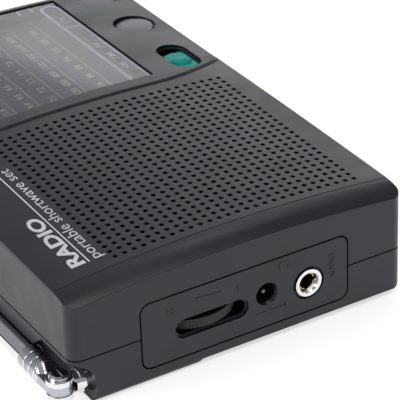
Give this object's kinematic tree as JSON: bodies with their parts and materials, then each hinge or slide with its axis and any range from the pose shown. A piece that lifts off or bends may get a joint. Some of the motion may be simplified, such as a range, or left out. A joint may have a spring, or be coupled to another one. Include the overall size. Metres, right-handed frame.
{
  "type": "shortwave receiver",
  "caption": "Pocket shortwave receiver lying on its back: perforated speaker half, sunken dial half with a window, slider and buttons, side jack panel and folding telescopic whip.",
  "frame": {"origin": "centre of the plane the back rests on, on the pad inside the stand's window", "axes": "+X to the right seen from the front, +Y towards the top edge that carries the whip, +Z out of the front face"},
  "size_m": [0.1191, 0.0783, 0.0269],
  "materials": {
    "case_plastic": "fine sparked texture",
    "knob_plastic": "satin",
    "window_plastic": "smoked, polished",
    "dial_face": "printed",
    "pointer_red": "gloss",
    "cord": "braided",
    "drum_plastic": "satin",
    "steel": "plated",
    "pot_body": "resin board",
    "teal_plastic": "satin",
    "button_plastic": "satin",
    "black_plastic": "satin",
    "board": "lacquered",
    "chrome_ring": "polished",
    "brass": "plain",
    "capacitor_sleeve": "shrink sleeve",
    "ferrite": "sintered",
    "coil_wire": "enamelled wire",
    "paper_cone": "pressed paper",
    "felt": "felt",
    "cell_jacket": "foil jacket",
    "whip_chrome": "polished"
  },
  "bodies": {
    "cabinet": {"front_cabinet": "case_plastic", "speaker_grille": "case_plastic", "rear_cabinet": "case_plastic", "jack_panel": "case_plastic", "dial_window": "window_plastic", "dial_plate": "dial_face", "dial_cord": "cord", "tuning_pin": "steel", "tuning_capacitor": "drum_plastic", "volume_pot": "pot_body", "power_switch": "steel", "band_switch": "steel", "tact_switches": "steel", "switch_board": "board", "earphone_socket": "black_plastic", "earphone_ring": "chrome_ring", "earphone_contacts": "brass", "dc_socket": "black_plastic", "dc_pin": "steel", "main_board": "board", "board_screws": "steel", "integrated_circuits": "black_plastic", "coil_cans": "steel", "electrolytic_capacitors": "capacitor_sleeve", "ferrite_rod": "ferrite", "ferrite_coils": "coil_wire", "speaker_frame": "steel", "speaker_cone": "paper_cone", "speaker_magnet": "ferrite", "speaker_felt": "felt", "battery_cells": "cell_jacket", "battery_springs": "steel", "battery_contacts": "steel", "case_screws": "steel"},
    "volume": {"volume_wheel": "knob_plastic", "volume_screw": "steel"},
    "tuning": {"tuning_wheel": "knob_plastic"},
    "drum": {"dial_drum": "drum_plastic", "drum_screw": "steel"},
    "pointer": {"dial_pointer": "pointer_red"},
    "power": {"power_slider": "teal_plastic", "power_lever": "steel"},
    "band": {"band_knob": "knob_plastic", "band_lever": "steel"},
    "button_1": {"button_cap_1": "button_plastic", "tact_plunger_1": "black_plastic"},
    "button_2": {"button_cap_2": "button_plastic", "tact_plunger_2": "black_plastic"},
    "door": {"battery_door": "case_plastic"},
    "stand": {"kickstand": "case_plastic"},
    "swivel": {"antenna_base": "whip_chrome", "antenna_clip": "steel", "antenna_pivot_screw": "whip_chrome"},
    "whip_1": {"antenna_knuckle": "whip_chrome", "antenna_tube_1": "whip_chrome"},
    "whip_2": {"antenna_tube_2": "whip_chrome"},
    "whip_3": {"antenna_tube_3": "whip_chrome"},
    "whip_4": {"antenna_tube_4": "whip_chrome"},
    "whip_5": {"antenna_tube_5": "whip_chrome"},
    "whip_6": {"antenna_rod": "whip_chrome"}
  },
  "joints": [
    {"name": "volume_turn", "type": "hinge", "parent": "cabinet", "child": "volume", "pos_m": [-0.0492, 0.0077, 0.0083], "axis": [0, 0, 1], "range_deg": [-150, 150]},
    {"name": "tuning_turn", "type": "hinge", "parent": "cabinet", "child": "tuning", "pos_m": [0.0472, 0.006, 0.0089], "axis": [0, 0, -1], "range_deg": [0, 660]},
    {"name": "drum_turn", "type": "hinge", "parent": "cabinet", "child": "drum", "pos_m": [0.026, 0.009, 0.0187], "axis": [0, 0, -1], "range_deg": [0, 176]},
    {"name": "pointer_slide", "type": "slide", "parent": "cabinet", "child": "pointer", "axis": [1, 0, 0], "range_m": [0, 0.038]},
    {"name": "power_slide", "type": "slide", "parent": "cabinet", "child": "power", "axis": [1, 0, 0], "range_m": [0, 0.0024]},
    {"name": "band_slide", "type": "slide", "parent": "cabinet", "child": "band", "axis": [0, 1, 0], "range_m": [0, 0.016]},
    {"name": "button_1_press", "type": "slide", "parent": "cabinet", "child": "button_1", "axis": [0, 0, -1], "range_m": [0, 0.0005], "stiffness_N_per_m": 400, "springref_m": -0.0005},
    {"name": "button_2_press", "type": "slide", "parent": "cabinet", "child": "button_2", "axis": [0, 0, -1], "range_m": [0, 0.0005], "stiffness_N_per_m": 400, "springref_m": -0.0005},
    {"name": "door_slide", "type": "slide", "parent": "cabinet", "child": "door", "axis": [0, -1, 0], "range_m": [0, 0.02]},
    {"name": "stand_hinge", "type": "hinge", "parent": "cabinet", "child": "stand", "pos_m": [0, 0.0276, 0.00115], "axis": [1, 0, 0], "range_deg": [0, 65]},
    {"name": "antenna_swivel", "type": "hinge", "parent": "cabinet", "child": "swivel", "pos_m": [-0.0548, 0.0382, 0.0034], "axis": [0, 1, 0], "range_deg": [0, 180]},
    {"name": "antenna_tilt", "type": "hinge", "parent": "swivel", "child": "whip_1", "pos_m": [-0.0548, 0.0382, 0.0034], "axis": [0, 0, 1], "range_deg": [0, 180]},
    {"name": "section_2_slide", "type": "slide", "parent": "whip_1", "child": "whip_2", "axis": [1, 0, 0], "range_m": [0, 0.08]},
    {"name": "section_3_slide", "type": "slide", "parent": "whip_2", "child": "whip_3", "axis": [1, 0, 0], "range_m": [0, 0.08]},
    {"name": "section_4_slide", "type": "slide", "parent": "whip_3", "child": "whip_4", "axis": [1, 0, 0], "range_m": [0, 0.08]},
    {"name": "section_5_slide", "type": "slide", "parent": "whip_4", "child": "whip_5", "axis": [1, 0, 0], "range_m": [0, 0.08]},
    {"name": "section_6_slide", "type": "slide", "parent": "whip_5", "child": "whip_6", "axis": [1, 0, 0], "range_m": [0, 0.08]}
  ],
  "couplings": [
    {"joint": "drum_turn", "follows": "tuning_turn", "ratio": 0.2655},
    {"joint": "pointer_slide", "follows": "tuning_turn", "m_per_rad": 0.00329}
  ]
}
